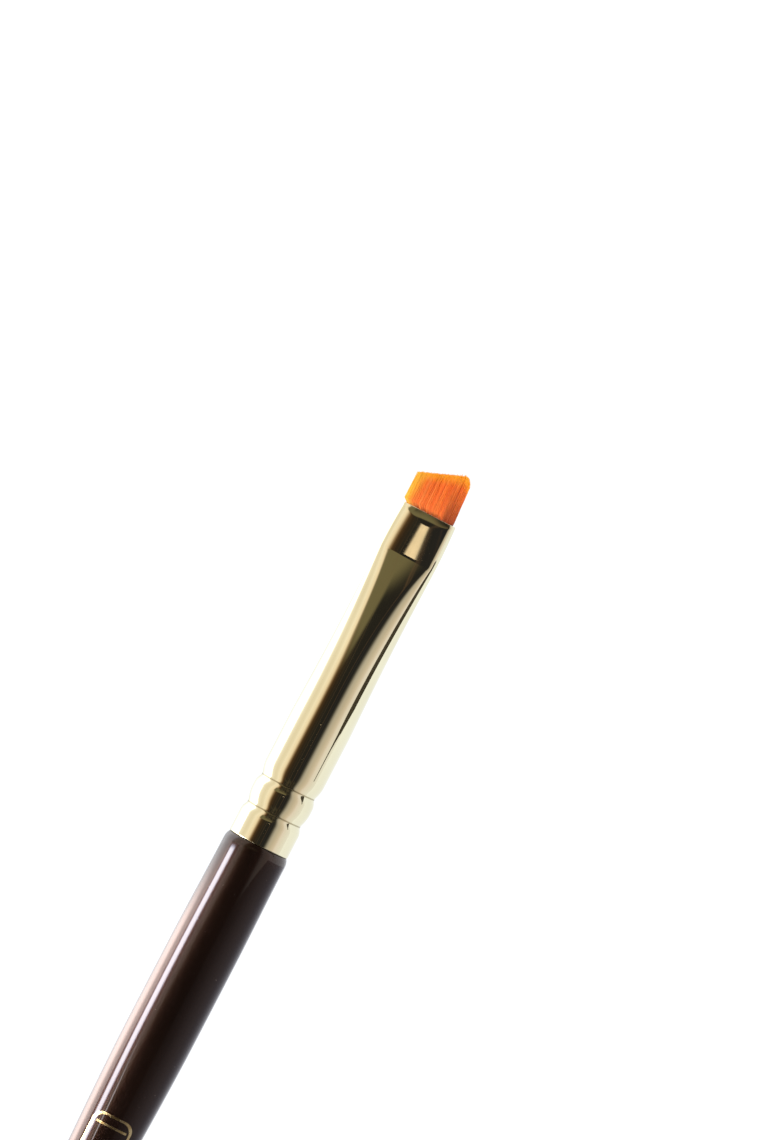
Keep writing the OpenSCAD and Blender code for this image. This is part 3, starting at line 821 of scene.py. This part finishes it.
studio = {
    "floorSize": 6.0, "floorRight": (1.0, 1.025, 1.06), "windowGlow": 2.0, "windowRise": (3.8, 7.5),
    "handleGlow": 6.0, "handleWarmth": (1.0, 0.78, 0.7), "handleGlowRise": (13.0, 4.0), "stripeReach": 50.0,
    "flagAside": -13.4,
    "flag": ((21, 4.5), (24, 4.2), (29, 1.28), (43, 1.28), (43, 5.8), (29, 5.8), (24, 5.2), (21, 5.1)),
    "greyAside": -4.0, "greyFade": (-3.0, 12.0),
    "grey": ((-150, -2.9), (13.7, -2.9), (13.7, 4.4), (12.6, 5.5), (8, 11.5), (-150, 11.5)),
    "paneAside": 4.5, "paneGlow": 20.0, "pane": ((-150, 2.0), (13.8, 2.0), (13.8, 4.6), (-150, 4.6)),
    "paneBand": (2.1, 2.5, 3.2, 3.9), "paneEnd": (13.7, 13.0), "paneClimb": 0.4, "paneClimbRun": (2.0, -14.0),
    "slitAside": 12.0, "slitGlow": 8.0, "slitFade": (-4.0, -12.0),
    "slit": ((-4.5, 9.7), (-34, 22.4), (-34, 25.6), (-4.5, 10.1)),
    "tentGlow": 2.2, "lampSize": 0.7, "lampPower": 5.0, "lampPlace": (0.04, 0.0, 0.6),
    "far": 500.0, "wide": 64.4, "lookAt": (39.87, 1.57), "lean": 62.53, "sensor": 36.0,
}


def inMetres(lengths):
    return [length * mm for length in lengths]


def card(name, corners, finish):
    mesh = bpy.data.meshes.new(name)
    mesh.from_pydata(corners, [], [tuple(range(len(corners)))])
    mesh.materials.append(finish)
    piece = bpy.data.objects.new(name, mesh)
    bpy.context.collection.objects.link(piece)
    return piece


# the floor glows white; the window side is brighter away from the brush, most of all beside the handle
half, low = studio["floorSize"] / 2, cadBox[0][2]
floorPaint, tree, shader = newMaterial("paleFloor", Roughness=0.9)
shader.inputs["Base Color"].default_value = (0.02, 0.02, 0.02, 1)
where = axes(tree, onPiece(tree))
window = remap(tree, where[1], *inMetres(studio["windowRise"]), 1.0, studio["windowGlow"], smooth=True)
stripe = ramp(tree, calc(tree, "MULTIPLY", where[1], 1 / (studio["stripeReach"] * mm)), [
    (0.08, (0, 0, 0)), (0.19, (1, 1, 1)), (0.23, (1, 1, 1)), (0.34, (0.4, 0.4, 0.4)), (1.0, (0.3, 0.3, 0.3))])
besideHandle = remap(tree, where[0], *inMetres(studio["handleGlowRise"]),
                     0.0, studio["handleGlow"], smooth=True)
plainGlow = scaled(tree, studio["floorRight"], window)
warmGlow = scaled(tree, studio["handleWarmth"], calc(tree, "MULTIPLY", stripe, besideHandle))
bothGlows = put(tree, "ShaderNodeVectorMath", {0: plainGlow, 1: warmGlow}).outputs[0]
tree.links.new(bothGlows, shader.inputs["Emission Color"])
shader.inputs["Emission Strength"].default_value = 1.0
floorCorners = [(-half, -half, low), (half, -half, low), (half, half, low), (-half, half, low)]
card("paleFloor", floorCorners, floorPaint)

# a narrow dark flag beside the ferrule draws the thin dark line down its side
flagPaint, tree, shader = newMaterial("flagCloth", Roughness=0.9)
weave = noise(tree, stretched(tree, (400, 400, 400)), 1.0)
cloth = ramp(tree, weave, [(0.3, (0.035, 0.028, 0.018)), (0.7, (0.05, 0.042, 0.03))])
tree.links.new(cloth, shader.inputs["Base Color"])


def uprightCard(name, aside, outline, finish):
    # seen in the glossy pieces only
    piece = card(name, [(x * mm, aside * mm, z * mm) for x, z in outline], finish)
    piece.visible_camera = piece.visible_diffuse = piece.visible_shadow = False


uprightCard("darkFlag", studio["flagAside"], studio["flag"], flagPaint)


def glowingPaint(name, strength):
    made, tree, shader = newMaterial(name, Roughness=0.9, Emission_Strength=strength)
    shader.inputs["Base Color"].default_value = (0, 0, 0, 1)
    place = axes(tree, onPiece(tree))
    return made, tree, shader.inputs["Emission Color"], place[0], place[2]


# a grey card keeps the lacquer dark on the side away from the window
greyPaint, tree, glow, here, height = glowingPaint("greyCard", 1.0)
tree.links.new(ramp(tree, remap(tree, height, *inMetres(studio["greyFade"]), 0.0, 1.0), [
    (0.0, (0.95, 0.96, 1.05)), (0.187, (0.6, 0.61, 0.68)), (0.24, (0.42, 0.43, 0.49)),
    (0.293, (0.31, 0.31, 0.36)), (0.36, (0.33, 0.32, 0.34)), (0.467, (0.22, 0.21, 0.22)),
    (0.6, (0.11, 0.1, 0.1)), (0.8, (0.05, 0.045, 0.045)), (1.0, (0.035, 0.032, 0.03))]), glow)
uprightCard("greyCard", studio["greyAside"], studio["grey"], greyPaint)

# the window seen along the handle: a pane with soft edges, and the slit beside it
panePaint, tree, glow, here, height = glowingPaint("windowPane", studio["paneGlow"])
climb = remap(tree, here, *inMetres(studio["paneClimbRun"]), 0.0, studio["paneClimb"] * mm, smooth=True)
lit = band(tree, calc(tree, "SUBTRACT", height, climb), *inMetres(studio["paneBand"]))
lit = calc(tree, "MULTIPLY", lit, remap(tree, here, *inMetres(studio["paneEnd"]), 0.0, 1.0, smooth=True))
tree.links.new(ramp(tree, lit, [(0.0, (0, 0, 0)), (0.5, (0.38, 0.42, 0.53)), (1.0, (0.84, 0.9, 1.0))]), glow)
uprightCard("windowPane", studio["paneAside"], studio["pane"], panePaint)
slitPaint, tree, glow, here, height = glowingPaint("windowSlit", studio["slitGlow"])
fading = remap(tree, here, *inMetres(studio["slitFade"]), 0.0, 1.0)
tree.links.new(ramp(tree, fading, [(0.0, (0.05, 0.05, 0.05)), (1.0, (1, 0.97, 1))]), glow)
uprightCard("windowSlit", studio["slitAside"], studio["slit"], slitPaint)

# a bright tent round the table, open overhead where the camera looks in: degrees round the brush, colour
tent = [
    (-180, 1.0, 1.0, 1.0), (-96, 1.3, 1.3, 1.3), (-88, 1.15, 1.1, 1.05), (-82, 0.96, 0.88, 0.77),
    (-70, 0.88, 0.79, 0.64), (-62, 0.91, 0.82, 0.68), (-55, 1.02, 0.92, 0.78), (-45, 0.98, 0.83, 0.65),
    (-41, 0.78, 0.63, 0.47), (-36, 0.32, 0.21, 0.12), (-31, 0.09, 0.048, 0.02), (-25, 0.04, 0.024, 0.013),
    (-10, 0.02, 0.019, 0.016), (2, 0.02, 0.018, 0.016), (12, 0.018, 0.018, 0.02), (19, 0.02, 0.02, 0.02),
    (23, 0.08, 0.075, 0.065), (28, 0.3, 0.27, 0.24), (34, 0.5, 0.45, 0.4), (44, 0.6, 0.52, 0.44),
    (54, 0.71, 0.61, 0.54), (62, 0.84, 0.76, 0.74), (76, 0.85, 0.82, 0.8), (94, 0.9, 0.9, 0.92),
    (180, 1.0, 1.0, 1.0)]
# turn is degrees round the brush, tilt is degrees towards its tip; a band rises, holds, fades and ends
view = {
    "openTurn": (-30, -22, 15, 22),
    "patchTurn": (-44, -38, 60, 61), "patchTilt": (9.0, 13.0, 33, 42), "patchSoft": (-5.0, 3.0),
    "patchReach": 8.0, "patchFrom": 16.9, "patchSlope": 4.0,
    "gapTurn": (-2.4, -1.0, 3.0, 4.4), "gapTilt": (-0.1, 0.1, 0.9, 1.1),
    "clutterTilt": (20, 34), "clutterGrain": 6.0, "clutterShare": 0.8,
    "slatGrain": 0.3, "slatEdge": (0.52, 0.72), "slatShare": 0.6,
}
world = bpy.data.worlds.new("tent")
bpy.context.scene.world = world
world.use_nodes = True
tree = world.node_tree
sky = tree.nodes["Background"]
direction = tree.nodes.new("ShaderNodeTexCoord").outputs["Generated"]
way = axes(tree, direction)
turn = calc(tree, "DEGREES", calc(tree, "ARCTAN2", calc(tree, "MULTIPLY", way[1], -1.0), way[2]))
tilt = calc(tree, "DEGREES", calc(tree, "ARCSINE", way[0]))
around = ramp(tree, calc(tree, "MULTIPLY_ADD", turn, 1 / 360, 0.5),
              [((a + 180) / 360, (r / 2, g / 2, b / 2)) for a, r, g, b in tent])
# in the opening: a warm patch towards the tip, a bright gap, odds and ends further off
opening = band(tree, turn, *view["openTurn"])
patchRise = calc(tree, "MULTIPLY", calc(tree, "SUBTRACT", tilt, view["patchFrom"]), view["patchSlope"])
beyond = calc(tree, "SUBTRACT", turn, calc(tree, "MINIMUM", view["patchReach"], patchRise))
patch = calc(tree, "MULTIPLY", band(tree, turn, *view["patchTurn"]),
             remap(tree, beyond, *view["patchSoft"], 1.0, 0.0, smooth=True))
patch = calc(tree, "MULTIPLY", patch, band(tree, tilt, *view["patchTilt"]))
around = blendColour(tree, patch, around, (0.085, 0.072, 0.038))
gap = calc(tree, "MULTIPLY", band(tree, turn, *view["gapTurn"]), band(tree, tilt, *view["gapTilt"]))
around = blendColour(tree, gap, around, (0.68, 0.54, 0.39))
clutter = noise(tree, direction, view["clutterGrain"], 2, 0.6)
clutterColour = ramp(tree, clutter, [(0.4, (0.01, 0.009, 0.007)), (0.7, (0.038, 0.032, 0.02))])
far = remap(tree, calc(tree, "ABSOLUTE", tilt), *view["clutterTilt"], 0.0, 1.0, smooth=True)
far = calc(tree, "MULTIPLY", calc(tree, "MULTIPLY", far, opening), view["clutterShare"])
around = blendColour(tree, far, around, clutterColour)
# and faint upright streaks, as of shelves and door frames
slats = noise(tree, joined(tree, x=calc(tree, "MULTIPLY", turn, view["slatGrain"])), 1.0, 2, 0.6)
slats = remap(tree, slats, *view["slatEdge"], 0.0, view["slatShare"], smooth=True)
around = blendColour(tree, calc(tree, "MULTIPLY", slats, opening), around, (0.085, 0.05, 0.028))
tree.links.new(around, sky.inputs["Color"])
sky.inputs["Strength"].default_value = studio["tentGlow"]
# what the camera itself sees past the floor is a plain pale backdrop
plain = put(tree, "ShaderNodeBackground", {"Color": (0.98, 0.98, 0.98, 1), "Strength": 1.0})
choose = put(tree, "ShaderNodeMixShader", {0: tree.nodes.new("ShaderNodeLightPath").outputs["Is Camera Ray"],
                                           1: sky.outputs[0], 2: plain.outputs[0]})
tree.links.new(choose.outputs[0], tree.nodes["World Output"].inputs["Surface"])

overhead = bpy.data.lights.new("overheadFill", "AREA")
overhead.shape = "RECTANGLE"
overhead.size = overhead.size_y = studio["lampSize"]
overhead.energy = studio["lampPower"]
lamp = bpy.data.objects.new("overheadFill", overhead)
bpy.context.collection.objects.link(lamp)
lamp.location = studio["lampPlace"]
lamp.visible_glossy = lamp.visible_camera = False

eye = bpy.data.cameras.new("eye")
eye.sensor_fit = "HORIZONTAL"
eye.sensor_width = studio["sensor"]
eye.lens = studio["sensor"] * studio["far"] / studio["wide"]
eye.clip_start, eye.clip_end = 0.01, 20
camera = bpy.data.objects.new("eye", eye)
bpy.context.collection.objects.link(camera)
camera.location = (studio["lookAt"][0] * mm, studio["lookAt"][1] * mm, studio["far"] * mm)
camera.rotation_euler = (0, 0, -math.radians(studio["lean"]))
bpy.context.scene.camera = camera
bpy.context.scene.view_settings.view_transform = "Standard"
print("studio ready")
